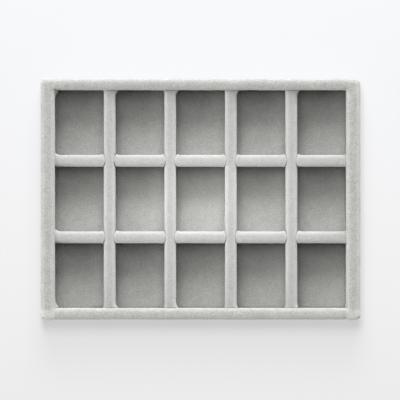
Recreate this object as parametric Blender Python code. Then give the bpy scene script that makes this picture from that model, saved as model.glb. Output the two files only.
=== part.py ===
"""A ring tray: a shallow padded tray, wrapped in light grey velour, with fifteen open cells.

A greyboard carcass stands inside padded velour covers. The two side walls run the full depth, and the
front and back walls butt between them. Four long dividers run from front to back and two cross
dividers run from side to side. They are lapped like an egg crate: each long divider is slotted from
below, each cross divider from above, and the padded cover of a cross divider ends in a rounded
pillow at every slot, which squeezes the long divider between two pillows into a waist.

Metres, +Z up. The origin is on the underside, at the middle of the tray. +X runs along the long side
and +Y points to the back.
"""

import math
from dataclasses import dataclass

import bmesh
import bpy
from mathutils import Matrix

# Cells
COLUMNS = 5
ROWS = 3
CELL_WIDTH = 0.0238
CELL_DEPTH = 0.0315

# Heights
TRAY_HEIGHT = 0.025
DIVIDER_DROP = 0.0025  # from the rim down to the tops of the dividers

# Boards and skins
BOARD = 0.0024  # the greyboard in every wall and divider
BASE_BOARD = 0.002
SKIN = 0.0008  # velour without padding: the floor, the hems and the lining underneath

# Padded velour on each face of a board
SIDE_PADDING = 0.0019
END_PADDING = 0.00125
LONG_PADDING = 0.0013
CROSS_PADDING = 0.001325
RIM_PADDING = 0.0016  # over the top edge of a wall board
DIVIDER_TOP_PADDING = 0.0013  # over the top edge of a divider board
TURNED_END = 0.0013  # padding over the end of a divider board, and round its slots

# Rounded tops
RIM_CROWN = 0.0023  # how far down the rounding of a wall's top reaches
DIVIDER_CROWN = 0.0019
CROWN_POWER = 2.4  # 2 is an ellipse, and more is squarer
CROWN_STEPS = 8

# Corners, where the end walls butt against the side walls
SIDE_END_ROUND = 0.0018
BUTT_END_ROUND = 0.0004
ROUND_STEPS = 5
FLUSH_CROWN = 0.0003  # rounding left on a side wall's top edge along the joint, so that the tops meet flush
FLUSH_BLEND = 0.0008  # how far beyond the joint that edge is fully round again
CORNER_FOLD = 0.0009  # how far the velour of a side wall is pulled into the cell at the joint
CORNER_FOLD_REACH = 0.003
FOLD_START = 0.0001  # how far from the joint's end the fold stands out in full

# Hems turned in under the base board, measured from a wall's inner face
HEM = 0.004

# Dividers where they meet the walls
LONG_FLARE = 0.0011
LONG_FLARE_REACH = 0.0026
CROSS_FLARE = 0.0006
CROSS_FLARE_REACH = 0.002
FLARE_STEPS = 4

# Crossings
WAIST = 0.004  # width of a long divider where two pillows squeeze it
PILLOW_REACH = 0.0016  # length of a pillow's rounding
PILLOW_CAP = 0.0004  # half the width of a pillow's flat tip
PILLOW_DROP = 0.0012  # how far a pillow's tip lies below the divider's top
PILLOW_STEPS = 5
WAIST_STEPS = 5
WAIST_BLEND = 12  # how closely the waist follows the pillows before it widens
WAIST_OPENING = 2  # how steeply the waist opens beyond a pillow's side

# Clearance between neighbours
FIT = 0.0003
OVERSHOOT = 0.002  # how far a cutter runs past the piece that it cuts
MERGE = 1e-7
SHARP = math.radians(35)

# Thicknesses worked out from board and padding
SIDE_WALL = BOARD + 2 * (FIT + SIDE_PADDING)
END_WALL = BOARD + 2 * (FIT + END_PADDING)
LONG_DIVIDER = BOARD + 2 * (FIT + LONG_PADDING)
CROSS_DIVIDER = BOARD + 2 * (FIT + CROSS_PADDING)

# Plan sizes
INNER_WIDTH = COLUMNS * CELL_WIDTH + (COLUMNS - 1) * LONG_DIVIDER
INNER_DEPTH = ROWS * CELL_DEPTH + (ROWS - 1) * CROSS_DIVIDER
TRAY_WIDTH = INNER_WIDTH + 2 * SIDE_WALL
TRAY_DEPTH = INNER_DEPTH + 2 * END_WALL
CAVITY = BOARD + 2 * FIT  # the space in a cover that its board stands in

# Levels
BASE_BOTTOM = SKIN + FIT
BASE_TOP = BASE_BOTTOM + BASE_BOARD
FLOOR_BOTTOM = BASE_TOP + FIT
FLOOR_TOP = FLOOR_BOTTOM + SKIN
WALL_BOARD_TOP = TRAY_HEIGHT - RIM_PADDING - FIT
DIVIDER_BOTTOM = FLOOR_TOP + FIT
DIVIDER_TOP = TRAY_HEIGHT - DIVIDER_DROP
DIVIDER_BOARD_TOP = DIVIDER_TOP - DIVIDER_TOP_PADDING - FIT
LAP = (DIVIDER_BOTTOM + DIVIDER_TOP) / 2  # the height at which the slots meet

# Places of the dividers
LONG_PITCH = CELL_WIDTH + LONG_DIVIDER
CROSS_PITCH = CELL_DEPTH + CROSS_DIVIDER
LONG_PLACES = [(k - (COLUMNS - 2) / 2) * LONG_PITCH for k in range(COLUMNS - 1)]
CROSS_PLACES = [(k - (ROWS - 2) / 2) * CROSS_PITCH for k in range(ROWS - 1)]

# Materials, each a name, a colour and a roughness
VELOUR = ("light_grey_velour", (0.60, 0.60, 0.57), 0.95)
GREYBOARD = ("greyboard", (0.30, 0.28, 0.25), 0.9)
LINING = ("underside_paper", (0.45, 0.45, 0.43), 0.85)


# Scene, collections and materials


def clear_scene():
    """Remove every object that the scene starts with."""
    for thing in list(bpy.data.objects):
        bpy.data.objects.remove(thing, do_unlink=True)


def new_collection(name):
    """A collection linked to the scene."""
    collection = bpy.data.collections.new(name)
    bpy.context.scene.collection.children.link(collection)
    return collection


def new_material(name, colour, roughness):
    """A plain, non-metallic material."""
    material = bpy.data.materials.new(name)
    material.use_nodes = True
    shader = material.node_tree.nodes["Principled BSDF"]
    shader.inputs["Base Color"].default_value = (*colour, 1.0)
    shader.inputs["Roughness"].default_value = roughness
    shader.inputs["Metallic"].default_value = 0.0
    return material


@dataclass(frozen=True)
class Bench:
    """The collections that the pieces and their cutters go into, and the materials."""

    parts: bpy.types.Collection
    cutters: bpy.types.Collection
    velour: bpy.types.Material
    greyboard: bpy.types.Material
    lining: bpy.types.Material

    def piece(self, name, mesh, material):
        """A piece of the tray."""
        thing = bpy.data.objects.new(name, mesh)
        mesh.materials.append(material)
        self.parts.objects.link(thing)
        return thing

    def cutter(self, name, mesh):
        """A closed form that is cut out of a piece."""
        thing = bpy.data.objects.new(name, mesh)
        self.cutters.objects.link(thing)
        return thing


def cut(thing, cutter):
    """Take a closed cutter out of an object."""
    modifier = thing.modifiers.new("cut_" + cutter.name, "BOOLEAN")
    modifier.operation = "DIFFERENCE"
    modifier.object = cutter
    cutter.hide_render = True
    cutter.display_type = "WIRE"
    cutter.parent = thing


def place(thing, x=0.0, y=0.0, turn=0.0):
    """Put an object at a place in plan, turned about the vertical by so many degrees."""
    thing.location = (x, y, 0.0)
    thing.rotation_euler = (0.0, 0.0, math.radians(turn))


# Forms


def block_mesh(name, length, depth, bottom, top):
    """A box centred in plan, between two heights."""
    form = bmesh.new()
    bmesh.ops.create_cube(form, size=1.0)
    bmesh.ops.scale(form, verts=form.verts, vec=(length, depth, top - bottom))
    bmesh.ops.translate(form, verts=form.verts, vec=(0.0, 0.0, (top + bottom) / 2))
    return finished_mesh(name, form)


def finished_mesh(name, form):
    """The mesh of a bmesh, which is freed."""
    mesh = bpy.data.meshes.new(name)
    form.to_mesh(mesh)
    form.free()
    return mesh


def outline_mesh(name, points, thickness, turn):
    """A flat outline, given as corners, made into a plate of a thickness and turned upright."""
    curve = bpy.data.curves.new(name + "_outline", "CURVE")
    curve.dimensions = "2D"
    curve.fill_mode = "BOTH"
    curve.extrude = thickness / 2
    spline = curve.splines.new("POLY")
    spline.points.add(len(points) - 1)
    for point, (across, up) in zip(spline.points, points):
        point.co = (across, up, 0.0, 1.0)
    spline.use_cyclic_u = True
    guide = bpy.data.objects.new(name + "_guide", curve)
    bpy.context.scene.collection.objects.link(guide)
    bpy.context.view_layer.update()
    raw = bpy.data.meshes.new_from_object(guide.evaluated_get(bpy.context.evaluated_depsgraph_get()))
    bpy.data.objects.remove(guide, do_unlink=True)
    bpy.data.curves.remove(curve)
    form = bmesh.new()
    form.from_mesh(raw)
    bpy.data.meshes.remove(raw)
    bmesh.ops.remove_doubles(form, verts=form.verts, dist=MERGE)
    bmesh.ops.recalc_face_normals(form, faces=form.faces)
    bmesh.ops.transform(form, verts=form.verts, matrix=turn)
    return finished_mesh(name, form)


# Turns a plate so that its outline lies in X and Z, and its thickness along Y.
UPRIGHT = Matrix.Rotation(math.radians(90), 4, "X")
# Turns a plate so that its outline lies in Y and Z, and its thickness along X.
ALONG = Matrix.Rotation(math.radians(90), 4, "Z") @ UPRIGHT


def crown(half_width, top, outer_reach, inner_reach):
    """Points over a rounded top, from the outer side face to the inner one."""
    points = []
    for step in range(CROWN_STEPS + 1):
        angle = math.pi * (1 - step / CROWN_STEPS)
        out = math.copysign(abs(math.cos(angle)) ** (2 / CROWN_POWER), math.cos(angle))
        up = abs(math.sin(angle)) ** (2 / CROWN_POWER)
        reach = inner_reach if out > 0 else outer_reach
        points.append((half_width * out, top - reach * (1 - up)))
    return points


def rounding(along, reach, power=2.0):
    """How full a rounded end is, from 0 at its tip to 1 where the rounding ends."""
    left = min(1.0, max(0.0, 1 - along / reach))
    return (1 - left**power) ** (1 / power)


def rounding_places(reach, steps):
    """Distances from a rounded end's tip, closest together at the tip."""
    return [reach * (1 - math.cos(math.pi / 2 * k / steps)) for k in range(steps + 1)]


def loft_mesh(name, sections):
    """A closed solid through cross-sections, each (x, points in Y and Z), all with as many points."""
    form = bmesh.new()
    rings = [[form.verts.new((x, y, z)) for y, z in points] for x, points in sections]
    for ring, following in zip(rings, rings[1:]):
        for k in range(len(ring)):
            n = (k + 1) % len(ring)
            form.faces.new((ring[k], ring[n], following[n], following[k]))
    form.faces.new(rings[0])
    form.faces.new(rings[-1])
    bmesh.ops.remove_doubles(form, verts=form.verts, dist=MERGE)
    bmesh.ops.recalc_face_normals(form, faces=form.faces)
    mesh = finished_mesh(name, form)
    mesh.shade_smooth()
    mesh.set_sharp_from_angle(angle=SHARP)
    return mesh


def end_distance(x, length):
    """How far a place along a piece is from the nearer end."""
    return length / 2 - abs(x)


def both_ends(distances, length):
    """Places at these distances from each end of a piece."""
    return [side * (length / 2 - distance) for side in (-1, 1) for distance in distances]


def eased_in(from_end, spread, reach):
    """How much a piece widens near its end, where its velour runs into another piece."""
    return spread * max(0.0, 1 - from_end / reach) ** 2


# Walls


@dataclass(frozen=True)
class WallShape:
    """What sets the side walls, whose covers close over their ends, and the end walls apart."""

    length: float
    thickness: float
    padding: float
    closed: bool

    @property
    def open_from(self):
        """How far from each end the inner face comes free of the walls that butt against it."""
        return END_WALL + FIT if self.closed else 0.0

    @property
    def end_reach(self):
        """How long the rounding at each end is."""
        return END_WALL / 2 if self.closed else BUTT_END_ROUND

    @property
    def board_length(self):
        """The length of the board, which stops short of a closed end."""
        return self.length - 2 * (END_PADDING + FIT) if self.closed else self.length

    @property
    def hollow_length(self):
        """The length of the space for the board, which runs out at an open end."""
        return self.board_length + 2 * (FIT if self.closed else OVERSHOOT)

    def inner_side(self, beyond):
        """The inner face and the depth of the rounding over it, at a distance beyond the joint."""
        if not self.closed:
            return self.thickness / 2, RIM_CROWN
        fold = eased_in(beyond, CORNER_FOLD, CORNER_FOLD_REACH) if beyond > 0 else 0.0
        share = min(1.0, max(0.0, beyond / FLUSH_BLEND))
        return self.thickness / 2 + fold, FLUSH_CROWN + (RIM_CROWN - FLUSH_CROWN) * share

    def section(self, x):
        """The cover's cross-section: outer face, rounded top, inner face and hem."""
        from_end = end_distance(x, self.length)
        beyond = from_end - self.open_from
        drawn_in = 1 - rounding(from_end, self.end_reach, CROWN_POWER)
        outer = self.thickness / 2 - (SIDE_END_ROUND if self.closed else BUTT_END_ROUND) * drawn_in
        inner, inner_crown = self.inner_side(beyond)
        top = TRAY_HEIGHT - (RIM_CROWN if self.closed else BUTT_END_ROUND) * drawn_in
        middle = (inner - outer) / 2
        over = [(y + middle, z) for y, z in crown((outer + inner) / 2, top, RIM_CROWN, inner_crown)]
        foot = self.thickness / 2
        hem = foot + min(max(0.0, beyond), HEM)
        inside = [(inner, DIVIDER_BOTTOM), (foot, DIVIDER_BOTTOM), (foot, BASE_BOTTOM)]
        return x, [(-outer, 0.0)] + over + inside + [(hem, BASE_BOTTOM), (hem, 0.0)]

    def sections(self):
        """The cross-sections along the wall."""
        beyond = [0.0, HEM]
        if self.closed:
            beyond += [FOLD_START, FLUSH_BLEND]
            beyond += [CORNER_FOLD_REACH * k / FLARE_STEPS for k in range(1, FLARE_STEPS + 1)]
        marks = rounding_places(self.end_reach, ROUND_STEPS) + [self.open_from + mark for mark in beyond]
        return [self.section(x) for x in sorted(set(both_ends(marks, self.length)))]


def wall_hollow_mesh(name, shape):
    """The space in a wall cover for its board, and below it for the edge of the base board."""
    outer = shape.padding - shape.thickness / 2
    inner = outer + CAVITY
    past = shape.thickness / 2 + HEM + OVERSHOOT
    board_top = WALL_BOARD_TOP + FIT
    corners = [
        (outer, SKIN),
        (past, SKIN),
        (past, FLOOR_BOTTOM),
        (inner, FLOOR_BOTTOM),
        (inner, board_top),
        (outer, board_top),
    ]
    return outline_mesh(name, corners, shape.hollow_length, ALONG)


def make_wall(side, shape, where, bench):
    """A wall's cover and board."""
    name = "wall_cover_" + side
    cover = bench.piece(name, loft_mesh(name, shape.sections()), bench.velour)
    name = "hollow_of_wall_" + side
    cut(cover, bench.cutter(name, wall_hollow_mesh(name, shape)))
    name = "wall_board_" + side
    board_mesh = block_mesh(name, shape.board_length, BOARD, FLOOR_BOTTOM, WALL_BOARD_TOP)
    board = bench.piece(name, board_mesh, bench.greyboard)
    place(cover, *where)
    place(board, *where)


def make_walls(bench):
    """Two side walls over the full depth, with the front and back walls butted between them."""
    side_x = (TRAY_WIDTH - SIDE_WALL) / 2
    end_y = (TRAY_DEPTH - END_WALL) / 2
    side_shape = WallShape(TRAY_DEPTH, SIDE_WALL, SIDE_PADDING, True)
    end_shape = WallShape(INNER_WIDTH - 2 * FIT, END_WALL, END_PADDING, False)
    make_wall("left", side_shape, (-side_x, 0.0, -90), bench)
    make_wall("right", side_shape, (side_x, 0.0, 90), bench)
    make_wall("front", end_shape, (0.0, -end_y, 0), bench)
    make_wall("back", end_shape, (0.0, end_y, 180), bench)


# Dividers


@dataclass(frozen=True)
class DividerShape:
    """What sets the long and the cross dividers apart. Slots run in from below or from above."""

    kind: str
    length: float
    slots: list
    slot_half: float
    slot_end: float
    from_below: bool


def pillow_half_width(from_tip):
    """Half the width of a cross divider at a distance from a pillow's tip."""
    return PILLOW_CAP + (CROSS_DIVIDER / 2 - PILLOW_CAP) * rounding(from_tip, PILLOW_REACH)


def pillow_top(from_tip):
    """The height of a cross divider at a distance from a pillow's tip."""
    return DIVIDER_TOP - PILLOW_DROP * (1 - rounding(from_tip, PILLOW_REACH))


def pillow_set_back(offset):
    """How far a pillow's surface lies behind its tip, at an offset from its middle line."""
    half = CROSS_DIVIDER / 2
    if offset >= half:
        return PILLOW_REACH + WAIST_OPENING * (offset - half)
    share = max(0.0, offset - PILLOW_CAP) / (half - PILLOW_CAP)
    return PILLOW_REACH * (1 - math.sqrt(1 - share * share))


def waist_half_width(offset):
    """Half the width of a long divider at a distance from the middle of a crossing."""
    between_pillows = WAIST / 2 + pillow_set_back(offset)
    plain = LONG_DIVIDER / 2
    return (between_pillows**-WAIST_BLEND + plain**-WAIST_BLEND) ** (-1 / WAIST_BLEND)


def comb(length, edge, far_edge, slots, slot_half, slot_end):
    """The upright outline of a board, with slots from one edge up or down to a height."""
    corners = [(-length / 2, edge)]
    for x in slots:
        corners += [(x - slot_half, edge), (x - slot_half, slot_end)]
        corners += [(x + slot_half, slot_end), (x + slot_half, edge)]
    return corners + [(length / 2, edge), (length / 2, far_edge), (-length / 2, far_edge)]


def make_divider(shape, number, cover_mesh, where, bench):
    """A divider's padded cover, and the greyboard inside it, which ends short of the cover all round."""
    inward = 1 if shape.from_below else -1
    length = shape.length - 2 * (TURNED_END + FIT)
    slot_half = shape.slot_half + TURNED_END + FIT
    slot_end = shape.slot_end + inward * (TURNED_END + FIT)
    edges = (DIVIDER_BOTTOM, DIVIDER_BOARD_TOP)[::inward]
    hollow_edges = (DIVIDER_BOTTOM - OVERSHOOT, DIVIDER_BOARD_TOP + FIT)[::inward]
    board = comb(length, *edges, shape.slots, slot_half, slot_end)
    hollow = comb(length + 2 * FIT, *hollow_edges, shape.slots, slot_half - FIT, slot_end - inward * FIT)
    cover = bench.piece(f"{shape.kind}_divider_cover_{number}", cover_mesh, bench.velour)
    name = f"hollow_of_{shape.kind}_divider_{number}"
    cut(cover, bench.cutter(name, outline_mesh(name, hollow, CAVITY, UPRIGHT)))
    name = f"{shape.kind}_divider_board_{number}"
    place(bench.piece(name, outline_mesh(name, board, BOARD, UPRIGHT), bench.greyboard), *where)
    place(cover, *where)
    return cover


def flare_places(length, reach):
    """Places along a divider that shape its flares at the walls."""
    return both_ends([reach * k / FLARE_STEPS for k in range(FLARE_STEPS + 1)], length)


def long_cover_mesh(name, length):
    """A long divider's cover, flared at the walls and waisted at the crossings."""
    reach = CROSS_DIVIDER / 2 + PILLOW_REACH / 2
    offsets = [reach * k / WAIST_STEPS for k in range(-WAIST_STEPS, WAIST_STEPS + 1)]
    places = flare_places(length, LONG_FLARE_REACH)
    places += [crossing + offset for crossing in CROSS_PLACES for offset in offsets]
    sections = []
    for x in sorted(places):
        nearest = min((abs(x - crossing) for crossing in CROSS_PLACES), default=length)
        half = waist_half_width(nearest) + eased_in(end_distance(x, length), LONG_FLARE, LONG_FLARE_REACH)
        over = crown(half, DIVIDER_TOP, DIVIDER_CROWN, DIVIDER_CROWN)
        sections.append((x, [(-half, DIVIDER_BOTTOM)] + over + [(half, DIVIDER_BOTTOM)]))
    return loft_mesh(name, sections)


def make_long_dividers(bench):
    """The dividers from front to back, slotted from below."""
    length = INNER_DEPTH - 2 * FIT
    shape = DividerShape("long", length, CROSS_PLACES, CROSS_DIVIDER / 2 + FIT, LAP + FIT / 2, True)
    slot_width = LONG_DIVIDER + 2 * OVERSHOOT
    slot_bottom = DIVIDER_BOTTOM - OVERSHOOT
    for number, x in enumerate(LONG_PLACES, 1):
        mesh = long_cover_mesh(f"long_divider_cover_{number}", length)
        cover = make_divider(shape, number, mesh, (x, 0.0, 90), bench)
        for crossing, y in enumerate(CROSS_PLACES, 1):
            name = f"slot_{number}_{crossing}"
            slot_mesh = block_mesh(name, 2 * shape.slot_half, slot_width, slot_bottom, shape.slot_end)
            slot = bench.cutter(name, slot_mesh)
            cut(cover, slot)
            place(slot, x=y)


def cross_section(x, half, top, crown_reach, shelf):
    """A cross divider's cross-section, whose upper part narrows to a pillow above a full-width shelf."""
    base = max(half, CROSS_DIVIDER / 2)
    left = [(-base, DIVIDER_BOTTOM), (-base, shelf), (-half, shelf)]
    right = [(half, shelf), (base, shelf), (base, DIVIDER_BOTTOM)]
    return x, left + crown(half, top, crown_reach, crown_reach) + right


def cross_cover_mesh(name, length, slot_half, shelf):
    """A cross divider's cover: a span for each column, with pillows at the slots and flares at the walls."""
    sections = []
    for x in flare_places(length, CROSS_FLARE_REACH):
        half = CROSS_DIVIDER / 2 + eased_in(end_distance(x, length), CROSS_FLARE, CROSS_FLARE_REACH)
        sections.append(cross_section(x, half, DIVIDER_TOP, DIVIDER_CROWN, shelf))
    for slot in LONG_PLACES:
        for side in (-1, 1):
            pillow = []
            for tip in rounding_places(PILLOW_REACH, PILLOW_STEPS):
                x = slot + side * (slot_half + tip)
                half = pillow_half_width(tip)
                pillow.append(cross_section(x, half, pillow_top(tip), DIVIDER_CROWN, shelf))
            floor = cross_section(slot + side * slot_half, PILLOW_CAP, shelf, 0.0, shelf)
            sections += [floor] + pillow if side > 0 else pillow[::-1] + [floor]
    sections.sort(key=lambda section: section[0])
    return loft_mesh(name, sections)


def make_cross_dividers(bench):
    """The dividers from side to side, slotted from above, with a pillow on each side of a slot."""
    length = INNER_WIDTH - 2 * FIT
    shape = DividerShape("cross", length, LONG_PLACES, WAIST / 2 + FIT, LAP - FIT / 2, False)
    for number, y in enumerate(CROSS_PLACES, 1):
        mesh = cross_cover_mesh(f"cross_divider_cover_{number}", length, shape.slot_half, shape.slot_end)
        make_divider(shape, number, mesh, (0.0, y, 0), bench)


# Base


def make_base(bench):
    """The base board, the velour floor glued on it and the lining underneath, inside the hems."""
    base_width = TRAY_WIDTH - 2 * (SIDE_PADDING + FIT)
    base_depth = TRAY_DEPTH - 2 * (END_PADDING + FIT)
    lining_width = INNER_WIDTH - 2 * (HEM + FIT)
    lining_depth = INNER_DEPTH - 2 * (HEM + FIT)
    floor_width = INNER_WIDTH - 2 * FIT
    floor_depth = INNER_DEPTH - 2 * FIT
    base = block_mesh("base_board", base_width, base_depth, BASE_BOTTOM, BASE_TOP)
    floor = block_mesh("floor_lining", floor_width, floor_depth, FLOOR_BOTTOM, FLOOR_TOP)
    underside = block_mesh("underside_lining", lining_width, lining_depth, 0.0, SKIN)
    bench.piece("base_board", base, bench.greyboard)
    bench.piece("floor_lining", floor, bench.velour)
    bench.piece("underside_lining", underside, bench.lining)


def main():
    """Build the tray."""
    clear_scene()
    parts = new_collection("ring_tray")
    cutters = new_collection("ring_tray_cutters")
    bench = Bench(parts, cutters, new_material(*VELOUR), new_material(*GREYBOARD), new_material(*LINING))
    make_base(bench)
    make_walls(bench)
    make_long_dividers(bench)
    make_cross_dividers(bench)


main()
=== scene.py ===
"""The looks of the ring tray: velour over its walls, dividers and floor, and the studio.

Everything is in metres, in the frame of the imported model: +X along the long side, +Y to the back
and +Z up. Each padded cover is a flat sheet of velour that is wrapped over the form of its CAD
solid, section by section, then strayed a little from its true form, as soft padding does, and
given its thickness.
"""

import logging
import math
from dataclasses import dataclass
from enum import Enum
from typing import Any, Callable, Sequence

import bmesh
import bpy
from mathutils import Matrix, Vector, noise


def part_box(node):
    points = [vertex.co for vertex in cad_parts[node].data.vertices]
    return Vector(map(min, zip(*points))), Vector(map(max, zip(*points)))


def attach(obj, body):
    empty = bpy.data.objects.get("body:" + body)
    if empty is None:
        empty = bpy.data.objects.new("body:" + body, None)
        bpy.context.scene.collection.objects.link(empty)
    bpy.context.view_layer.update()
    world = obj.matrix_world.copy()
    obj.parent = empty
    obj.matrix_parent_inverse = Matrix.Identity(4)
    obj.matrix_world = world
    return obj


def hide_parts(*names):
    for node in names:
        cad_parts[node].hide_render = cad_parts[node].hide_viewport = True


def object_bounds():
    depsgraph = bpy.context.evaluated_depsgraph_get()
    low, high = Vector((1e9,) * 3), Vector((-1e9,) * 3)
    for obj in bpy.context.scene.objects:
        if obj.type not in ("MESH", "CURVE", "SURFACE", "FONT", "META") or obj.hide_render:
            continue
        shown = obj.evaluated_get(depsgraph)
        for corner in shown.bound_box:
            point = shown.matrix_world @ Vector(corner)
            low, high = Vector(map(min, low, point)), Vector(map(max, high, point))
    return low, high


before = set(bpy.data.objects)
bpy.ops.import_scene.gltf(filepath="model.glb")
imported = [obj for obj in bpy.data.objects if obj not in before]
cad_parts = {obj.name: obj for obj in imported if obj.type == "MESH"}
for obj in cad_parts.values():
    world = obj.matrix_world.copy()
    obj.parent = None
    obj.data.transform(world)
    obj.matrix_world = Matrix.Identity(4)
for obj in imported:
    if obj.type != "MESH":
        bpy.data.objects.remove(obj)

log = logging.getLogger("ring_tray")

CAD_LOW, CAD_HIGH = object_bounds()
BODY = "root"
TINY = 1e-7
GAP = 0.0003
CLOSE = 0.00005
LONG_PADDING = 0.0016
CROSS_PADDING = 0.001625
LONG_NUMBERS = range(1, 5)
CROSS_NUMBERS = range(1, 3)
MIX_COLOURS = (6, 7)
MIX_RESULT = 2

Step = tuple["Face", float]


# Names


class Wall(Enum):
    """The tray's walls, each with the turn in degrees that brings its outer face round from -Y."""

    LEFT = -90
    RIGHT = 90
    FRONT = 0
    BACK = 180

    @property
    def cover(self) -> str:
        """The name of the wall's CAD cover."""
        return "wall_cover_" + self.name.lower()

    @property
    def board(self) -> str:
        """The name of the wall's CAD board."""
        return "wall_board_" + self.name.lower()

    @property
    def is_side(self) -> bool:
        """Whether this is one of the two walls that run the full depth."""
        return self in (Wall.LEFT, Wall.RIGHT)


class Face(Enum):
    """The stretches of a sheet round a section, from its front or outer side to the other."""

    HEM = 0
    OUTER_LOW = 1
    OUTER_HIGH = 2
    CROWN = 3
    INNER_HIGH = 4
    INNER_LOW = 5


WALL_STEPS = {
    Face.HEM: 8,
    Face.OUTER_LOW: 3,
    Face.OUTER_HIGH: 14,
    Face.CROWN: 28,
    Face.INNER_HIGH: 16,
    Face.INNER_LOW: 2,
}
DIVIDER_STEPS = {
    Face.OUTER_LOW: 7,
    Face.OUTER_HIGH: 7,
    Face.CROWN: 22,
    Face.INNER_HIGH: 7,
    Face.INNER_LOW: 7,
}


# Shader maths


class Graph:
    """The node tree of one material, and the one way in which its nodes are made."""

    def __init__(self, name: str) -> None:
        """Make a material with a Principled shader.

        Args:
            name: The material's name.
        """
        self.material = bpy.data.materials.new(name)
        self.material.use_nodes = True
        self.tree = self.material.node_tree
        self.shader = self.tree.nodes["Principled BSDF"]

    def node(
        self, kind: str, settings: dict[str, Any] | None = None, **inputs: Any
    ) -> bpy.types.Node:
        """Add a node.

        Args:
            kind: The node's type, such as ShaderNodeTexNoise.
            settings: Attributes that are set before the inputs.
            inputs: Values or links for its sockets, named with underscores for spaces.

        Returns:
            The node.
        """
        made = self.tree.nodes.new(kind)
        for key, value in (settings or {}).items():
            setattr(made, key, value)
        self.set_up(made, **inputs)
        return made

    def set_up(self, node: bpy.types.Node, **inputs: Any) -> None:
        """Feed some sockets of a node.

        Args:
            node: The node.
            inputs: Values or links for its sockets, named with underscores for spaces.
        """
        for key, value in inputs.items():
            self.feed(node.inputs[key.replace("_", " ")], value)

    def feed(self, socket: bpy.types.NodeSocket, value: Any) -> None:
        """Link a value to a socket, or write it there.

        Args:
            socket: The input socket.
            value: A Value, an output socket, a number, a colour or a vector.
        """
        if isinstance(value, Value):
            self.tree.links.new(value.socket, socket)
        elif isinstance(value, bpy.types.NodeSocket):
            self.tree.links.new(value, socket)
        else:
            socket.default_value = value

    def object_place(self) -> bpy.types.NodeSocket:
        """The surface's place in the object's own coordinates."""
        return self.node("ShaderNodeTexCoord").outputs["Object"]

    def noise(
        self, place: bpy.types.NodeSocket, size: float, detail: float, roughness: float = 0.5
    ) -> "Value":
        """A cloudy pattern from 0 to 1.

        Args:
            place: The coordinates.
            size: How large one blot is, in metres.
            detail: How many finer layers it has.
            roughness: How strong the finer layers are.

        Returns:
            The pattern.
        """
        made = self.node(
            "ShaderNodeTexNoise", Vector=place, Scale=1 / size, Detail=detail, Roughness=roughness
        )
        return Value(self, made.outputs["Fac"])

    def blend(self, share: "Value", low: Any, high: Any) -> bpy.types.NodeSocket:
        """A colour between two colours.

        Args:
            share: 0 for the first colour and 1 for the second.
            low: The first colour, as three numbers or a socket.
            high: The second colour, as three numbers or a socket.

        Returns:
            The colour's socket.
        """
        settings = {"data_type": "RGBA", "clamp_factor": True}
        made = self.node("ShaderNodeMix", settings, Factor=share)
        for number, colour in zip(MIX_COLOURS, (low, high)):
            given = colour if isinstance(colour, bpy.types.NodeSocket) else (*colour, 1.0)
            self.feed(made.inputs[number], given)
        return made.outputs[MIX_RESULT]

    def bump(self, height: "Value", depth: float, strength: float) -> bpy.types.NodeSocket:
        """A bumped normal.

        Args:
            height: The relief, from 0 to 1.
            depth: How deep it is, in metres.
            strength: How much of it shows.

        Returns:
            The normal's socket.
        """
        made = self.node("ShaderNodeBump", Height=height, Distance=depth, Strength=strength)
        return made.outputs["Normal"]


class Value:
    """A number that varies over a surface. Python's operators on it add Math nodes."""

    def __init__(self, graph: Graph, socket: bpy.types.NodeSocket) -> None:
        """Wrap an output socket.

        Args:
            graph: The material's graph.
            socket: The output socket.
        """
        self.graph = graph
        self.socket = socket

    def maths(self, operation: str, *values: Any) -> "Value":
        """The result of one Math node.

        Args:
            operation: The node's operation.
            values: Its inputs, in order.

        Returns:
            The result.
        """
        made = self.graph.node("ShaderNodeMath", {"operation": operation})
        for socket, value in zip(made.inputs, values):
            self.graph.feed(socket, value)
        return Value(self.graph, made.outputs[0])

    def __add__(self, other: Any) -> "Value":
        """The sum."""
        return self.maths("ADD", self, other)

    def __radd__(self, other: Any) -> "Value":
        """The sum, with a number first."""
        return self.maths("ADD", other, self)

    def __sub__(self, other: Any) -> "Value":
        """The difference."""
        return self.maths("SUBTRACT", self, other)

    def __rsub__(self, other: Any) -> "Value":
        """The difference from a number."""
        return self.maths("SUBTRACT", other, self)

    def __mul__(self, other: Any) -> "Value":
        """The product."""
        return self.maths("MULTIPLY", self, other)

    def __rmul__(self, other: Any) -> "Value":
        """The product, with a number first."""
        return self.maths("MULTIPLY", other, self)

    def __pow__(self, other: Any) -> "Value":
        """The power."""
        return self.maths("POWER", self, other)


# Finishes


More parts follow.
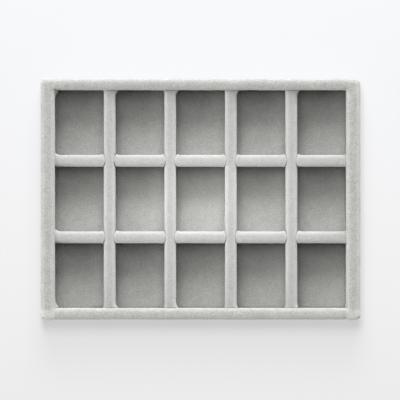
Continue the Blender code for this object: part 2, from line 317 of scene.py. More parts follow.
@dataclass(frozen=True)
class Velour:
    """Short cut pile: matt, with a painted sheen, its colour darkest seen straight on and paler
    seen at a slant, where its sides show.

    The middle glow is painted light, a paler pile in the middle of the tray, and the corner glow
    makes the pile lighter on top of the tray's corners.
    """

    name: str
    colour: tuple[float, float, float]
    # Painted sheen: how much paler the colour turns at a slant, and how fast.
    painted_sheen_lift: float = 1.2
    painted_sheen_gain: float = 8.0
    contrast: float = 0.3
    grain: float = 1.0
    tufted: float = 1.55
    brushed: float = 0.4
    patched: float = 0.2
    tuft: float = 0.0006
    brush: float = 0.0026
    patch: float = 0.012
    fibre_size: float = 0.0002
    fibres: float = 0.3
    relief: float = 0.00022
    relief_strength: float = 0.6
    roughness: float = 0.9
    roughness_spread: float = 0.2
    gloss: float = 0.12
    sheen: float = 0.1
    sheen_roughness: float = 0.3
    sheen_tint: tuple[float, float, float, float] = (1.0, 1.0, 0.99, 1.0)
    # Painted light, paler in the middle of the tray: its strength, width and depth.
    painted_middle_light: float = 0.0
    glow_width: float = 0.060
    glow_depth: float = 0.030
    # Lighter pile on top of the tray's corners, more at the front: its strengths, where it starts
    # and how fast it ramps up.
    corner_glow: float = 0.0
    front_corner_glow: float = 0.0
    corner: tuple[float, float, float] = (0.0707, 0.0527, 0.0214)
    corner_ramp: tuple[float, float, float] = (0.0002, 0.0018, 0.0022)

    def material(self) -> bpy.types.Material:
        """Build the material.

        Returns:
            The material.
        """
        graph = Graph(self.name)
        place = graph.object_place()
        tufts = graph.noise(place, self.tuft, 2.0, 0.6)
        strokes = graph.noise(place, self.brush, 2.0)
        patches = graph.noise(place, self.patch, 1.0)
        fibres = graph.noise(place, self.fibre_size, 1.0)
        tone = (tufts - 0.5) * self.tufted + (strokes - 0.5) * self.brushed
        tone = 0.5 + (tone + (patches - 0.5) * self.patched) * self.grain
        # Painted light: the pile is painted paler in the middle of the tray.
        if self.painted_middle_light:
            tone = tone + self.glow(graph, place) * self.painted_middle_light
        if self.corner_glow:
            tone = tone + self.ends(graph, place)
        # Painted sheen: a paler copy of the colour, blended in where the surface is seen at a slant
        # and fading again where it is seen edge on.
        top = self.mottled(graph, tone, 1.0)
        side = self.mottled(graph, tone, self.painted_sheen_lift)
        tilt = Value(graph, graph.node("ShaderNodeLayerWeight", Blend=0.5).outputs["Facing"])
        share = tilt.maths("MINIMUM", tilt * self.painted_sheen_gain, 1.0) - tilt
        height = tufts * (1 - self.fibres) + fibres * self.fibres
        graph.set_up(
            graph.shader,
            Base_Color=graph.blend(share, top, side),
            Roughness=self.roughness + (tufts - 0.5) * self.roughness_spread,
            Normal=graph.bump(height, self.relief, self.relief_strength),
            Specular_IOR_Level=self.gloss,
            Diffuse_Roughness=1.0,
            Sheen_Weight=self.sheen,
            Sheen_Roughness=self.sheen_roughness,
            Sheen_Tint=self.sheen_tint,
        )
        return graph.material

    def mottled(self, graph: Graph, tone: Value, lift: float) -> bpy.types.NodeSocket:
        """The pile's colour, darker and lighter as it lies.

        Args:
            graph: The material's graph.
            tone: 0 where it is darkest and 1 where it is lightest.
            lift: How much lighter than its own colour it is, above 1 for the painted sheen.

        Returns:
            The colour's socket.
        """
        shade = tuple(part * lift * (1 - self.contrast) for part in self.colour)
        light = tuple(part * lift * (1 + self.contrast) for part in self.colour)
        return graph.blend(tone, shade, light)

    def glow(self, graph: Graph, place: bpy.types.NodeSocket) -> Value:
        """How much painted light lies on the pile, most in the middle of the tray.

        Args:
            graph: The material's graph.
            place: The object's coordinates.

        Returns:
            1 in the middle, falling to 0.
        """
        parts = graph.node("ShaderNodeSeparateXYZ", Vector=place)
        across = Value(graph, parts.outputs["X"]) * (1 / self.glow_width)
        along = Value(graph, parts.outputs["Y"]) * (1 / self.glow_depth)
        return (1 + across * across + along * along) ** -2.0

    def ends(self, graph: Graph, place: bpy.types.NodeSocket) -> Value:
        """How much lighter the pile is where the side walls' velour is turned over their ends, on
        top of the tray's corners.

        Args:
            graph: The material's graph.
            place: The object's coordinates.

        Returns:
            The glow on top of the tray's corners, and 0 elsewhere.
        """
        parts = graph.node("ShaderNodeSeparateXYZ", Vector=place)
        half = (self.front_corner_glow - self.corner_glow) / 2
        to_back = Value(graph, parts.outputs["Y"]).maths("SIGN", parts.outputs["Y"])
        share = self.corner_glow + half - to_back * half
        for socket, start, ramp in zip("XYZ", self.corner, self.corner_ramp):
            side = Value(graph, parts.outputs[socket])
            beyond = (side.maths("ABSOLUTE", side) - start) * (1 / ramp)
            share = share * side.maths("MAXIMUM", side.maths("MINIMUM", beyond, 1.0), 0.0)
        return share


WALL_VELOUR = Velour(
    "wall_velour", (0.41, 0.41, 0.394), contrast=0.31, corner_glow=0.03, front_corner_glow=0.34
)
DIVIDER_VELOUR = Velour(
    "divider_velour", (0.42, 0.42, 0.412), contrast=0.4, grain=0.5, painted_middle_light=0.3
)
# Painted light: the floor's velour is the same cloth written paler than on the walls and dividers,
# to lift the cell floors.
FLOOR_VELOUR = Velour(
    "floor_velour", (0.53, 0.53, 0.515), contrast=0.7, grain=0.5, painted_middle_light=0.3
)


@dataclass(frozen=True)
class Stock:
    """Plain board or paper, with coarse clouds and a fine tooth. Each share is for the two."""

    name: str
    dark: tuple[float, float, float]
    pale: tuple[float, float, float]
    clouds: tuple[float, float, float]
    tooth: tuple[float, float]
    tone_shares: tuple[float, float]
    dull_shares: tuple[float, float]
    roughness: float
    relief: float
    relief_strength: float = 0.4

    def material(self) -> bpy.types.Material:
        """Build the material.

        Returns:
            The material.
        """
        graph = Graph(self.name)
        place = graph.object_place()
        clouds = graph.noise(place, *self.clouds) - 0.5
        tooth = graph.noise(place, *self.tooth) - 0.5
        tone, dullness = (
            middle + clouds * shares[0] + tooth * shares[1]
            for middle, shares in ((0.5, self.tone_shares), (self.roughness, self.dull_shares))
        )
        graph.set_up(
            graph.shader,
            Base_Color=graph.blend(tone, self.dark, self.pale),
            Roughness=dullness,
            Normal=graph.bump(tooth + 0.5, self.relief, self.relief_strength),
        )
        return graph.material


GREYBOARD = Stock(
    "greyboard",
    dark=(0.20, 0.185, 0.16),
    pale=(0.36, 0.34, 0.30),
    clouds=(0.004, 4.0, 0.65),
    tooth=(0.0007, 1.0),
    tone_shares=(1.2, 0.8),
    dull_shares=(0.2, 0.0),
    roughness=0.85,
    relief=0.0001,
)
LINING_PAPER = Stock(
    "lining_paper",
    dark=(0.36, 0.36, 0.345),
    pale=(0.48, 0.48, 0.46),
    clouds=(0.006, 3.0, 0.6),
    tooth=(0.0005, 2.0),
    tone_shares=(0.8, 0.5),
    dull_shares=(0.0, 0.2),
    roughness=0.8,
    relief=0.00008,
)


# Sheets of velour


@dataclass(frozen=True)
class Crease:
    """A dent along a short line on the covers' tops. A depth below zero makes it a pucker."""

    start: tuple[float, float]
    end: tuple[float, float]
    depth: float
    width: float
    lowest: float = 0.018
    reach: float = 3.0

    def at(self, place: Vector) -> float:
        """How far the surface moves outwards at a place.

        Args:
            place: A point on the surface.

        Returns:
            The distance, in metres.
        """
        start, run = Vector(self.start), Vector(self.end) - Vector(self.start)
        offset = place.xy - start
        if place.z < self.lowest or offset.length > run.length + self.reach * self.width:
            return 0.0
        share = min(1.0, max(0.0, offset.dot(run) / run.length_squared))
        away = (offset - run * share).length
        return -self.depth * math.exp(-((away / self.width) ** 2))


# In the tray's corners, and then at its first crossing
CREASES = (
    Crease((0.0693, -0.0546), (0.0702, -0.0581), 0.0003, 0.00035),
    Crease((-0.0702, -0.0545), (-0.0702, -0.0575), 0.0001, 0.0004),
    Crease((0.0663, -0.0548), (0.0677, -0.0571), 0.00009, 0.00025),
    Crease((0.0674, -0.0547), (0.0687, -0.0572), 0.00009, 0.00025),
    Crease((0.0684, -0.0546), (0.0697, -0.0573), 0.00009, 0.00025),
    Crease((0.0724, -0.0535), (0.0751, -0.0561), 0.00007, 0.00035),
    Crease((0.0718, -0.0552), (0.0741, -0.0575), 0.00007, 0.00035),
    Crease((-0.0721, 0.0542), (-0.0716, 0.0536), -0.00016, 0.00045),
    Crease((-0.0710, 0.0573), (-0.0708, 0.0566), -0.00012, 0.00045),
    Crease((-0.0728, -0.0568), (-0.0722, -0.0570), -0.00014, 0.00045),
    Crease((-0.0712, -0.0562), (-0.0708, -0.0573), -0.00012, 0.0004),
    Crease((-0.0733, -0.0549), (-0.0730, -0.0551), -0.0001, 0.00045),
    Crease((-0.0420, 0.0211), (-0.0416, 0.0214), 0.00035, 0.0003),
    Crease((-0.0425, 0.0198), (-0.0424, 0.0193), 0.00035, 0.00035),
    Crease((-0.0421, 0.0177), (-0.0413, 0.0159), 0.00018, 0.0003),
    Crease((-0.0460, 0.0182), (-0.0466, 0.0163), 0.00012, 0.0003),
)


@dataclass(frozen=True)
class Softness:
    """How far padded velour strays from its true form, at three scales and along its creases."""

    wave: float = 0.00004
    wave_length: float = 0.011
    lump: float = 0.00004
    lump_length: float = 0.0032
    tuft: float = 0.00003
    tuft_length: float = 0.0011
    creases: tuple[Crease, ...] = CREASES

    def at(self, place: Vector) -> float:
        """How far the surface moves outwards at a place.

        Args:
            place: A point on the surface.

        Returns:
            The distance, in metres.
        """
        return (
            self.wave * noise.noise(place / self.wave_length)
            + self.lump * noise.noise(place / self.lump_length)
            + self.tuft * noise.noise(place / self.tuft_length)
            + sum(crease.at(place) for crease in self.creases)
        )


def path_over(steps: dict[Face, int]) -> list[Step]:
    """The way of a sheet round a section.

    Args:
        steps: How many even steps it takes over each stretch, in order.

    Returns:
        The steps, with the last stretch's far end.
    """
    path = [(face, k / count) for face, count in steps.items() for k in range(count)]
    return path + [(path[-1][0], 1.0)]


def spaced(low: float, high: float, step: float) -> list[float]:
    """Places from one value to another, with the far one left out.

    Args:
        low: The first place.
        high: The place that they lead to.
        step: About how far apart they are.

    Returns:
        The places.
    """
    count = max(1, round(abs(high - low) / step))
    return [low + (high - low) * k / count for k in range(count)]


def crown_point(t: float, power: float) -> tuple[float, float]:
    """A point over a rounded top.

    Args:
        t: 0 at the outer side and 1 at the inner side.
        power: 2 for an ellipse, and more for a squarer top.

    Returns:
        How far across, from -1 to 1, and how far up, from 0 to 1.
    """
    angle = math.pi * (1 - t)
    across = math.copysign(abs(math.cos(angle)) ** (2 / power), math.cos(angle))
    return across, abs(math.sin(angle)) ** (2 / power)


def fullness(distance: float, reach: float, power: float) -> float:
    """How full a rounded end is.

    Args:
        distance: How far from the end's tip.
        reach: How long the rounding is.
        power: 2 for an ellipse, and more for a squarer end.

    Returns:
        0 at the tip and 1 where the rounding ends.
    """
    left = min(1.0, max(0.0, 1 - distance / reach))
    return (1 - left**power) ** (1 / power)


@dataclass(frozen=True)
class Section:
    """A cover's cross-section, with its front to -Y and its back to +Y before it is turned."""

    front: float
    back: float
    top: float
    crown: float
    back_crown: float
    bottom: float
    shelf: float = 0.0
    base: float = 0.0
    inner_bottom: float = 0.0
    hem: float = 0.0
    gusset: float = 0.0
    gusset_drop: float = 0.003
    ridge: float = 0.0
    power: float = 2.4

    def point(self, face: Face, t: float) -> tuple[float, float]:
        """Where the sheet is on its way round.

        Args:
            face: The stretch of the section.
            t: How far along the stretch, from 0 to 1.

        Returns:
            Its place across and its height.
        """
        shoulder = self.top - self.crown
        back_shoulder = self.top - self.back_crown
        if face is Face.HEM:
            start = self.back + self.hem
            return start + (-self.front - start) * t, self.bottom
        if face is Face.OUTER_LOW:
            return -max(self.base, self.front), self.bottom + (self.shelf - self.bottom) * t
        if face is Face.OUTER_HIGH:
            return -self.front, self.shelf + (shoulder - self.shelf) * t
        if face is Face.CROWN:
            across, up = crown_point(t, self.power)
            if across < 0:
                return self.ridge + (self.front + self.ridge) * across, shoulder + self.crown * up
            height = back_shoulder + self.back_crown * up
            return self.ridge + (self.back - self.ridge) * across, height
        if face is Face.INNER_HIGH:
            height = back_shoulder + (self.shelf - back_shoulder) * t
            fold = self.gusset * min(1.0, (back_shoulder - height) / self.gusset_drop)
            return self.back + fold, height
        height = self.shelf + (self.inner_bottom - self.shelf) * t
        return max(self.base, self.back) + self.gusset, height


def wrapped(stations: Sequence[tuple[float, Section]], path: Sequence[Step]) -> bmesh.types.BMesh:
    """A flat sheet wrapped over a row of cross-sections.

    Args:
        stations: Each section, with its place along the piece.
        path: The steps that the sheet takes round each section.

    Returns:
        The sheet, facing outwards.
    """
    form = bmesh.new()
    along, around = len(stations) - 1, len(path) - 1
    bmesh.ops.create_grid(form, x_segments=along, y_segments=around, size=1.0)
    for vert in form.verts:
        x, section = stations[round((vert.co.x + 1) / 2 * along)]
        y, z = section.point(*path[round((vert.co.y + 1) / 2 * around)])
        vert.co = (x, y, z)
    bmesh.ops.remove_doubles(form, verts=form.verts, dist=TINY)
    return form


@dataclass(frozen=True)
class SheetFinish:
    """What turns a wrapped sheet into a finished piece."""

    material: bpy.types.Material
    softness: Softness = Softness()
    thickness: float = 0.0006

    def piece(self, name: str, form: bmesh.types.BMesh, turn: Matrix) -> bpy.types.Object:
        """Stray the sheet, give it its thickness and dress it.

        Args:
            name: The piece's name.
            form: The sheet, which is freed.
            turn: What brings it into place.

        Returns:
            The piece.
        """
        bmesh.ops.transform(form, matrix=turn, verts=form.verts)
        form.normal_update()
        moves = [(vert, vert.normal * self.softness.at(vert.co)) for vert in form.verts]
        for vert, move in moves:
            vert.co += move
        mesh = bpy.data.meshes.new(name)
        form.to_mesh(mesh)
        form.free()
        mesh.shade_smooth()
        mesh.materials.append(self.material)
        made = bpy.data.objects.new(name, mesh)
        bpy.context.scene.collection.objects.link(made)
        shell = made.modifiers.new("thickness", "SOLIDIFY")
        shell.thickness = self.thickness
        shell.offset = -1.0
        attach(made, BODY)
        return made


def cloth_size(form: bmesh.types.BMesh, length: float) -> tuple[float, float]:
    """The size that a wrapped sheet was cut to.

    Args:
        form: The sheet.
        length: Its length along the piece.

    Returns:
        Its length and its girth.
    """
    return length, sum(face.calc_area() for face in form.faces) / length


def turned_to(degrees: float, x: float, y: float) -> Matrix:
    """A turn about the vertical, and then a move in plan.

    Args:
        degrees: The turn.
        x: The move along X.
        y: The move along Y.

    Returns:
        The matrix.
    """
    return Matrix.Translation((x, y, 0.0)) @ Matrix.Rotation(math.radians(degrees), 4, "Z")


# Walls


@dataclass(frozen=True)
class Fold:
    """A fold where one piece runs into another, with its spread at the end and its reach."""

    spread: float
    reach: float

    def at(self, distance: float) -> float:
        """How far it stands out at a distance from the end.

        Args:
            distance: The distance.

        Returns:
            The width that it adds.
        """
        return self.spread * min(1.0, max(0.0, 1 - distance / self.reach)) ** 2


@dataclass
class WallCover:
    """The velour over one wall, from the hem under the base, over the rim, to the floor."""

    wall: Wall
    material: bpy.types.Material
    step: float = 0.0004
    crown: float = 0.0026
    flush_crown: float = 0.00025
    power: float = 2.15
    corner_radius: float = 0.0022
    corner_power: float = 2.1
    front_ridge: float = -0.0011
    back_ridge: float = 0.0002
    tips: int = 7
    caps: int = 6
    front_puff: float = 0.00045
    back_puff: float = 0.0001
    butt_reach: float = 0.00003
    dip: Fold = Fold(0.00015, 0.0012)
    left_fold: Fold = Fold(0.0019, 0.0044)
    right_fold: Fold = Fold(0.0007, 0.0030)
    fold_drop: float = 0.0008
    left_wedge: Fold = Fold(0.0020, 0.0040)
    wedge_drop: float = 0.0018
    shelf: float = 0.005

    def __post_init__(self) -> None:
        """Measure the wall on the CAD model."""
        low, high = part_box(self.wall.cover)
        board_low, board_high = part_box(self.wall.board)
        self.middle = (board_low + board_high) / 2
        self.top = high.z
        self.inner_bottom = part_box("floor_lining")[1].z + CLOSE
        along = 1 if self.wall.is_side else 0
        across = 1 - along
        self.length = high[along] - low[along]
        if not self.wall.is_side:
            self.length += 2 * GAP
        outer = low if self.wall in (Wall.LEFT, Wall.FRONT) else high
        self.half = abs(outer[across] - self.middle[across])
        self.hem = high[across] - low[across] - 2 * self.half
        end_board_low, end_board_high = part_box(Wall.BACK.board)
        self.joint = 2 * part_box(Wall.BACK.cover)[1].y - end_board_low.y - end_board_high.y
        self.base_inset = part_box(Wall.BACK.cover)[1].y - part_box("base_board")[1].y

    def is_front(self, x: float) -> bool:
        """Whether a place along a side wall is in its front half."""
        return x > 0 if self.wall is Wall.LEFT else x < 0

    def rounding(self, x: float) -> float:
        """How far the top takes to round over at an end.

        A side wall follows the end wall's outer half.

        Args:
            x: The place, from the wall's middle.

        Returns:
            The distance.
        """
        if not self.wall.is_side:
            return self.butt_reach
        return self.joint / 2 + (self.front_ridge if self.is_front(x) else self.back_ridge)

    def side_section(self, x: float) -> Section:
        """The cross-section of a side wall, which the end walls butt against.

        Args:
            x: The place, from the wall's middle.

        Returns:
            The section.
        """
        from_end = self.length / 2 - abs(x)
        full = fullness(from_end, self.rounding(x), self.power)
        inset = self.corner_radius * (1 - fullness(from_end, self.corner_radius, self.corner_power))
        beyond_joint = from_end - self.joint
        flush = fullness(-beyond_joint, self.joint - self.rounding(x), self.power)
        gusset = 0.0
        if beyond_joint > 0 and self.is_front(x):
            fold = self.left_fold if self.wall is Wall.LEFT else self.right_fold
            gusset = fold.at(beyond_joint)
        elif beyond_joint > 0 and self.wall is Wall.LEFT:
            gusset = self.left_wedge.at(beyond_joint)
        return Section(
            front=self.half - inset,
            back=self.half,
            top=self.top - self.crown * (1 - full),
            crown=self.crown * full,
            back_crown=self.crown + (self.flush_crown - self.crown) * flush,
            bottom=0.0,
            shelf=self.shelf,
            inner_bottom=self.inner_bottom * min(1.0, from_end / self.base_inset),
            hem=min(max(0.0, beyond_joint), self.hem),
            gusset=gusset,
            gusset_drop=self.fold_drop if self.is_front(x) else self.wedge_drop,
            power=self.power,
        )

    def end_section(self, x: float) -> Section:
        """The cross-section of an end wall.

        Args:
            x: The place, from the wall's middle.

        Returns:
            The section.
        """
        from_end = self.length / 2 - abs(x)
        shrink = self.butt_reach * (1 - fullness(from_end, self.butt_reach, 2.0))
        dip = self.dip.at(from_end) if self.wall is Wall.BACK else 0.0
        return Section(
            front=self.half - shrink,
            back=self.half - shrink,
            top=self.top - shrink - dip,
            crown=self.crown,
            back_crown=self.crown,
            bottom=0.0,
            shelf=self.shelf,
            inner_bottom=self.inner_bottom,
            hem=min(from_end, self.hem),
            ridge=self.front_ridge if self.wall is Wall.FRONT else self.back_ridge,
            power=self.power,
        )

    def cap(self, x: float, share: float) -> tuple[float, Section]:
        """A ring on the end of a side wall, drawn in towards its middle line.

        Args:
            x: The end's place.
            share: 1 for the end's outline and 0 for its middle line.

        Returns:
            The ring's place and section.
        """
        whole = self.side_section(x)
        drawn = whole.back * (1 - share)
        puff = self.front_puff if self.is_front(x) else self.back_puff
        bulge = math.copysign(puff * math.sqrt(1 - share * share), x)
        return x + bulge, Section(
            front=whole.front * share,
            back=whole.back * share,
            top=whole.top - drawn,
            crown=whole.crown * share,
            back_crown=whole.back_crown * share,
            bottom=drawn,
            shelf=self.shelf,
            inner_bottom=drawn,
            power=self.power,
        )

    def stations(self) -> list[tuple[float, Section]]:
        """The sections along the wall, with closed ends on a side wall.

        Returns:
            Each section, with its place.
        """
        end = self.length / 2
        section = self.side_section if self.wall.is_side else self.end_section
        low, high = self.rounding(-end), self.rounding(end)
        tips = self.tips if self.wall.is_side else 1
        shares = [1 - math.cos(math.pi / 2 * k / tips) for k in range(tips)]
        ease = 0.0 if self.wall.is_side else self.butt_reach
        straight = spaced(-end + low + ease, end - high - ease, self.step) + [end - high - ease]
        if ease:
            straight = [-end + low, *straight, end - high]
        places = [low * share - end for share in shares] + straight
        places += [end - high * share for share in reversed(shares)]
        rows = [(x, section(x)) for x in places]
        if self.wall.is_side:
            shares = [k / self.caps for k in range(self.caps)]
            rows = [self.cap(-end, share) for share in shares] + rows
            rows += [self.cap(end, share) for share in reversed(shares)]
        return rows

    def build(self) -> bpy.types.Object:
        """Wrap the wall.

        Returns:
            The cover.
        """
        form = wrapped(self.stations(), path_over(WALL_STEPS))
        flat = cloth_size(form, self.length)
        turn = turned_to(self.wall.value, self.middle.x, self.middle.y)
        name = f"velour_{self.wall.name.lower()}_wall"
        made = SheetFinish(self.material).piece(name, form, turn)
        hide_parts(self.wall.cover)
        return made


# Dividers


@dataclass(frozen=True)
class Crossings:
    """Where the dividers pass through each other, and what they press into each other."""

    long_places: tuple[float, ...]
    cross_places: tuple[float, ...]
    long_half: float
    cross_half: float
    lap: float
    waist: float = 0.0022
    pillow_reach: float = 0.0015
    pillow_cap: float = 0.0004
    power: float = 2.3
    flare: float = 2.0
    blend: int = 12

    @classmethod
    def measured(cls) -> "Crossings":
        """Read the crossings from the CAD model.

        Returns:
            The crossings.
        """
        longs = [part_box(f"long_divider_board_{k}") for k in LONG_NUMBERS]
        crosses = [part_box(f"cross_divider_board_{k}") for k in CROSS_NUMBERS]
        cover_low, cover_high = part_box("cross_divider_cover_1")
        return cls(
            long_places=tuple((low.x + high.x) / 2 for low, high in longs),
            cross_places=tuple((low.y + high.y) / 2 for low, high in crosses),
            long_half=(longs[0][1].x - longs[0][0].x) / 2 + LONG_PADDING,
            cross_half=(crosses[0][1].y - crosses[0][0].y) / 2 + CROSS_PADDING,
            lap=(cover_low.z + cover_high.z) / 2,
        )

    def set_back(self, offset: float) -> float:
        """How far a pillow lies behind its tip, at an offset from its middle line.

        Args:
            offset: The offset.

        Returns:
            The distance.
        """
        if offset >= self.cross_half:
            return self.pillow_reach + self.flare * (offset - self.cross_half)
        share = max(0.0, offset - self.pillow_cap) / (self.cross_half - self.pillow_cap)
        return self.pillow_reach * (1 - (1 - share**self.power) ** (1 / self.power))

    def waist_half(self, offset: float) -> float:
        """Half the width of a long divider at a distance from the middle of a crossing.

        Args:
            offset: The distance.

        Returns:
            Half the width.
        """
        squeezed = self.waist + self.set_back(offset)
        return (squeezed**-self.blend + self.long_half**-self.blend) ** (-1 / self.blend)


@dataclass
class Divider:
    """The velour over one divider. Its two kinds differ in their sections and their slots."""

    number: int
    crossings: Crossings
    material: bpy.types.Material
    step: float = 0.0005
    crown: float = 0.0021
    power: float = 2.15
    kind: str = ""

    def __post_init__(self) -> None:
        """Measure the divider on the CAD model."""
        self.low, self.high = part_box(f"{self.kind}_divider_cover_{self.number}")
        self.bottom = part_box("floor_lining")[1].z + CLOSE

    def finish(self, form: bmesh.types.BMesh, turn: Matrix, length: float) -> bpy.types.Object:
        """Args:
            form: The sheet.
            turn: What brings it into place.
            length: Its length.

        Returns:
            The cover.
        """
        flat = cloth_size(form, length)
        name = f"velour_{self.kind}_divider_{self.number}"
        made = SheetFinish(self.material).piece(name, form, turn)
        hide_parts(f"{self.kind}_divider_cover_{self.number}")
        return made


@dataclass
class LongDivider(Divider):
    """A divider from front to back, whole on top and slotted from below."""

    kind: str = "long"
    front_left_fold: Fold = Fold(0.0005, 0.0019)
    front_right_folds: tuple[Fold, ...] = (
        Fold(0.0014, 0.0027),
        Fold(0.0013, 0.0026),
        Fold(0.0008, 0.0024),
        Fold(0.0008, 0.0024),
    )
    back_left_fold: Fold = Fold(0.0003, 0.0016)
    back_right_fold: Fold = Fold(0.0015, 0.0026)
    squeezed_crown: float = 0.0008

    def section(self, x: float, length: float) -> Section:
        """The cross-section at a place along the divider. Its front side is turned to +X.

        Args:
            x: The place, from the middle.
            length: The divider's length.

        Returns:
            The section.
        """
        crossings = self.crossings
        nearest = min(abs(x - place) for place in crossings.cross_places)
        half = crossings.waist_half(nearest)
        squeeze = (crossings.long_half - half) / (crossings.long_half - crossings.waist)
        crown = self.crown + (self.squeezed_crown - self.crown) * squeeze
        from_end = length / 2 - abs(x)
        if x < 0:
            left_fold, right_fold = self.front_left_fold, self.front_right_folds[self.number - 1]
        else:
            left_fold, right_fold = self.back_left_fold, self.back_right_fold
        return Section(
            front=half + right_fold.at(from_end),
            back=half + left_fold.at(from_end),
            top=self.high.z,
            crown=crown,
            back_crown=crown,
            bottom=self.bottom,
            shelf=crossings.lap + GAP / 2,
            inner_bottom=self.bottom,
            power=self.power,
        )

    def build(self) -> bpy.types.Object:
        """Wrap the divider and cut its slots.

        Returns:
            The cover.
        """
        length = self.high.y - self.low.y + 2 * (GAP - CLOSE)
        slot = self.crossings.cross_half + GAP
        marks = [-length / 2, length / 2]
        for place in self.crossings.cross_places:
            marks += [place - slot, place + slot]
        marks.sort()
        places = []
        for low, high in zip(marks, marks[1:]):
            places += spaced(low, high, self.step)
        places.append(length / 2)
        form = wrapped([(x, self.section(x, length)) for x in places], path_over(DIVIDER_STEPS))
        lap = self.crossings.lap
        gone = []
        for face in form.faces:
            middle = face.calc_center_median()
            inside = any(abs(middle.x - place) < slot for place in self.crossings.cross_places)
            if inside and middle.z < lap:
                gone.append(face)
        bmesh.ops.delete(form, geom=gone, context="FACES")
        x = self.crossings.long_places[self.number - 1]
        return self.finish(form, turned_to(90, x, 0.0), length)


@dataclass
class CrossDivider(Divider):
    """A divider from side to side, slotted from above, with a pillow on each side of a slot."""

    kind: str = "cross"
    left_fold: Fold = Fold(0.0012, 0.0026)
    right_fold: Fold = Fold(0.0005, 0.0018)
    tip_gap: float = 0.00003
    drop: float = 0.0003
    tip_crown: float = 0.0009
    tips: int = 9
    ridge: float = -0.0009
    back_ear: float = 0.00045
    front_ear: float = 0.00015
    ear_place: float = 0.0011
    ear_reach: float = 0.0007

    def section(self, from_tip: float, x: float, length: float) -> Section:
        """The cross-section at a place along a span.

        Args:
            from_tip: How far from the nearest pillow's tip.
            x: The place, from the middle.
            length: The divider's length.

        Returns:
            The section.
        """
        crossings = self.crossings
        full = fullness(from_tip, crossings.pillow_reach, crossings.power)
        half = crossings.pillow_cap + (crossings.cross_half - crossings.pillow_cap) * full
        fold = (self.left_fold if x < 0 else self.right_fold).at(length / 2 - abs(x))
        ear = full * math.exp(-(((from_tip - self.ear_place) / self.ear_reach) ** 2))
        crown = self.tip_crown + (self.crown - self.tip_crown) * full
        return Section(
            front=half + self.front_ear * ear,
            back=half + fold + self.back_ear * ear,
            top=self.high.z - self.drop * (1 - full),
            crown=crown,
            back_crown=crown,
            bottom=self.bottom,
            shelf=crossings.lap - GAP / 2,
            base=crossings.cross_half,
            inner_bottom=self.bottom,
            ridge=self.ridge * full,
            power=self.power,
        )

    def floor_of_slot(self) -> Section:
        """The cross-section in a slot, with its upper part drawn down to the slot's floor.

        Returns:
            The section.
        """
        shelf = self.crossings.lap - GAP / 2
        cap = self.crossings.pillow_cap
        return Section(
            front=cap,
            back=cap,
            top=shelf,
            crown=0.0,
            back_crown=0.0,
            bottom=self.bottom,
            shelf=shelf,
            base=self.crossings.cross_half,
            inner_bottom=self.bottom,
        )

    def build(self) -> bpy.types.Object:
        """Wrap the divider, span by span.

        Returns:
            The cover.
        """
        length = self.high.x - self.low.x + 2 * (GAP - CLOSE)
        slot = self.crossings.waist + self.tip_gap
        reach = self.crossings.pillow_reach
        tips = [reach * (1 - math.cos(math.pi / 2 * k / self.tips)) for k in range(self.tips)]
        edges = [-length / 2]
        for place in self.crossings.long_places:
            edges += [place - slot, place + slot]
        edges.append(length / 2)
        floor = self.floor_of_slot()
        rows: list[tuple[float, Section]] = []
        for low, high in zip(edges[::2], edges[1::2]):
            opens, closes = low > -length / 2, high < length / 2
            start = low + reach if opens else low
            end = high - reach if closes else high
            places = [low + tip for tip in tips] if opens else []
            places += spaced(start, end, self.step)
            places += [end] + ([high - tip for tip in reversed(tips)] if closes else [])
            if opens:
                rows.append((low, floor))
            for x in places:
                from_tip = min(x - low if opens else length, high - x if closes else length)
                rows.append((x, self.section(from_tip, x, length)))
            if closes:
                rows.append((high, floor))
        form = wrapped(rows, path_over(DIVIDER_STEPS))
        y = self.crossings.cross_places[self.number - 1]
        return self.finish(form, turned_to(0, 0.0, y), length)


# Floor and boards


@dataclass
class TrayFloor:
    """The velour laid over the base board, tucked close to the walls."""

    material: bpy.types.Material
    step: float = 0.0009
    tuck: float = 0.00025
    thickness: float = 0.0006
    softness: Softness = Softness(0.00004, 0.02, 0.00002, 0.0032, 0.00002, 0.002)

    def build(self) -> bpy.types.Object:
        """Lay the floor.

        Returns:
            The floor.
        """
        low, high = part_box("floor_lining")
        width, depth = high.x - low.x + 2 * self.tuck, high.y - low.y + 2 * self.tuck
        form = bmesh.new()
        bmesh.ops.create_grid(
            form, x_segments=round(width / self.step), y_segments=round(depth / self.step), size=0.5
        )
        bmesh.ops.scale(form, verts=form.verts, vec=(width, depth, 1.0))
        bmesh.ops.translate(form, verts=form.verts, vec=(0.0, 0.0, high.z))
        finish = SheetFinish(self.material, self.softness, self.thickness)
        made = finish.piece("velour_floor", form, Matrix.Identity(4))
        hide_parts("floor_lining")
        return made


def dress_boards() -> None:
    """Give the CAD nodes that stay their own finishes."""
    greyboard = GREYBOARD.material()
    paper = LINING_PAPER.material()
    for name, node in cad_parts.items():
        if "board" in name:
            material = greyboard
        elif name == "underside_lining":
            material = paper
        else:
            continue
        node.data.materials.clear()
        node.data.materials.append(material)
        log.info("dressed %s with %s", name, material.name)


# Studio


class Reach(Enum):
    """What a lamp lights."""

    TRAY = "EXCLUDE"
    TABLE = "INCLUDE"


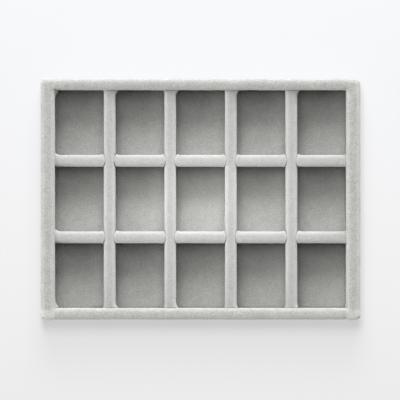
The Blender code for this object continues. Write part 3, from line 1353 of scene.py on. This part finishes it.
@dataclass(frozen=True)
class Lamp:
    """A square area lamp that faces the tray, and lights either the tray or the table under it."""

    name: str
    azimuth: float
    elevation: float
    size: float
    power: float
    reach: Reach = Reach.TRAY
    distance: float = 2.0

    def build(self, aim: Vector, table: bpy.types.Object) -> bpy.types.Object:
        """Place the lamp.

        Args:
            aim: The point that it faces.
            table: The table.

        Returns:
            The lamp.
        """
        light = bpy.data.lights.new(self.name, "AREA")
        light.shape = "SQUARE"
        light.size = self.size
        light.energy = self.power
        made = bpy.data.objects.new(self.name, light)
        made.visible_camera = False
        bpy.context.scene.collection.objects.link(made)
        a, e = math.radians(self.azimuth), math.radians(self.elevation)
        away = Vector((math.sin(a) * math.cos(e), math.cos(a) * math.cos(e), math.sin(e)))
        made.location = aim + away * self.distance
        made.rotation_mode = "QUATERNION"
        made.rotation_quaternion = away.to_track_quat("Z", "Y")
        lit = bpy.data.collections.new("lit_by_" + self.name)
        lit.objects.link(table)
        lit.collection_objects[0].light_linking.link_state = self.reach.value
        made.light_linking.receiver_collection = lit
        return made


@dataclass
class Studio:
    """The pale table, the lamps, the dark sky and the camera straight above."""

    metres_per_pixel: float = 0.155 / 320
    picture: float = 400.0
    camera_height: float = 3.0
    centre: tuple[float, float] = (200.55, 199.1)
    sensor: float = 36.0
    clip_end: float = 100.0
    table_size: float = 8.0
    table_drop: float = 0.0001
    table_colour: tuple[float, float, float, float] = (0.24, 0.24, 0.243, 1.0)
    table_roughness: float = 0.9
    table_gloss: float = 0.1
    far_tone: tuple[float, float, float] = (0.965, 0.980, 0.998)
    near_tone: tuple[float, float, float] = (0.881, 0.868, 0.876)
    tone_depth: float = 0.0972
    glow_share: float = 0.65
    sky: float = 0.0
    lamps: tuple[Lamp, ...] = (
        Lamp("back_low", 20.0, 15.0, 0.8, 48.0),
        Lamp("back_left_low", -20.0, 14.0, 0.8, 11.0),
        Lamp("back_middle", 0.0, 40.0, 0.8, 24.0),
        Lamp("back_left_high", -28.0, 55.0, 0.8, 8.0),
        Lamp("top", 0.0, 80.0, 0.8, 8.0),
        Lamp("left_low", -105.0, 14.0, 0.8, 9.0),
        Lamp("left_middle", -90.0, 38.0, 0.8, 9.3),
        Lamp("right_low", 102.0, 8.0, 0.8, 19.0),
        Lamp("front_left", -150.0, 14.0, 0.8, 30.0),
        Lamp("table_top", -8.0, 80.0, 0.3, 58.0, Reach.TABLE),
        Lamp("table_high", -8.0, 72.0, 0.3, 34.5, Reach.TABLE),
        Lamp("table_middle", 0.0, 50.0, 1.0, 52.0, Reach.TABLE),
        Lamp("table_low", 0.0, 35.0, 1.0, 22.0, Reach.TABLE),
    )

    def table(self) -> bpy.types.Object:
        """Lay the table top, which the camera sees partly by its own pale tone.

        Returns:
            The table.
        """
        graph = Graph("pale_table")
        graph.set_up(
            graph.shader,
            Base_Color=self.table_colour,
            Roughness=self.table_roughness,
            Specular_IOR_Level=self.table_gloss,
        )
        parts = graph.node("ShaderNodeSeparateXYZ", Vector=graph.object_place())
        up = Value(graph, parts.outputs["Y"]) * (0.5 / self.tone_depth) + 0.5
        tone = graph.blend(up, self.near_tone, self.far_tone)
        glow = graph.node("ShaderNodeEmission", Color=tone)
        rays = graph.node("ShaderNodeLightPath").outputs
        seen = Value(graph, rays["Is Camera Ray"]) + Value(graph, rays["Is Glossy Ray"])
        seen = (seen + Value(graph, rays["Is Transmission Ray"])) * self.glow_share
        mixed = graph.node("ShaderNodeMixShader", Fac=seen)
        graph.feed(mixed.inputs[1], graph.shader.outputs["BSDF"])
        graph.feed(mixed.inputs[2], glow.outputs["Emission"])
        graph.feed(graph.tree.nodes["Material Output"].inputs["Surface"], mixed.outputs["Shader"])
        form = bmesh.new()
        bmesh.ops.create_grid(form, x_segments=1, y_segments=1, size=self.table_size / 2)
        mesh = bpy.data.meshes.new("table")
        form.to_mesh(mesh)
        form.free()
        mesh.materials.append(graph.material)
        made = bpy.data.objects.new("table", mesh)
        made.location = (0.0, 0.0, -self.table_drop)
        bpy.context.scene.collection.objects.link(made)
        return made

    def camera(self) -> bpy.types.Object:
        """Set the camera over the tray, with a long lens.

        Returns:
            The camera.
        """
        rim = CAD_HIGH.z
        data = bpy.data.cameras.new("camera")
        data.sensor_width = self.sensor
        data.lens = self.sensor * self.camera_height / (self.picture * self.metres_per_pixel)
        data.clip_end = self.clip_end
        made = bpy.data.objects.new("camera", data)
        half = self.picture / 2
        x = (half - self.centre[0]) * self.metres_per_pixel
        y = (self.centre[1] - half) * self.metres_per_pixel
        made.location = (x, y, rim + self.camera_height)
        bpy.context.scene.collection.objects.link(made)
        bpy.context.scene.camera = made
        return made

    def world(self) -> bpy.types.World:
        """Set the sky, which stays dark unless its strength is raised.

        Returns:
            The world.
        """
        made = bpy.data.worlds.new("sky")
        made.use_nodes = True
        background = made.node_tree.nodes["Background"]
        background.inputs["Color"].default_value = (1.0, 1.0, 1.0, 1.0)
        background.inputs["Strength"].default_value = self.sky
        bpy.context.scene.world = made
        return made

    def build(self) -> None:
        """Set up the studio."""
        table = self.table()
        self.camera()
        self.world()
        aim = Vector((0.0, 0.0, CAD_HIGH.z))
        for lamp in self.lamps:
            lamp.build(aim, table)
        bpy.context.scene.view_settings.view_transform = "Standard"


def main() -> None:
    """Dress the tray, light it and look at it."""
    wall_velour = WALL_VELOUR.material()
    divider_velour = DIVIDER_VELOUR.material()
    floor_velour = FLOOR_VELOUR.material()
    Studio().build()
    dress_boards()
    crossings = Crossings.measured()
    makers: list[Callable[[], bpy.types.Object]] = []
    makers += [WallCover(wall, wall_velour).build for wall in Wall]
    makers += [LongDivider(k, crossings, divider_velour).build for k in LONG_NUMBERS]
    makers += [CrossDivider(k, crossings, divider_velour).build for k in CROSS_NUMBERS]
    makers.append(TrayFloor(floor_velour).build)
    for make in makers:
        piece = make()
        log.info("%s: %d faces", piece.name, len(piece.data.polygons))


if __name__ == "__main__":
    logging.basicConfig(level=logging.INFO)
    main()
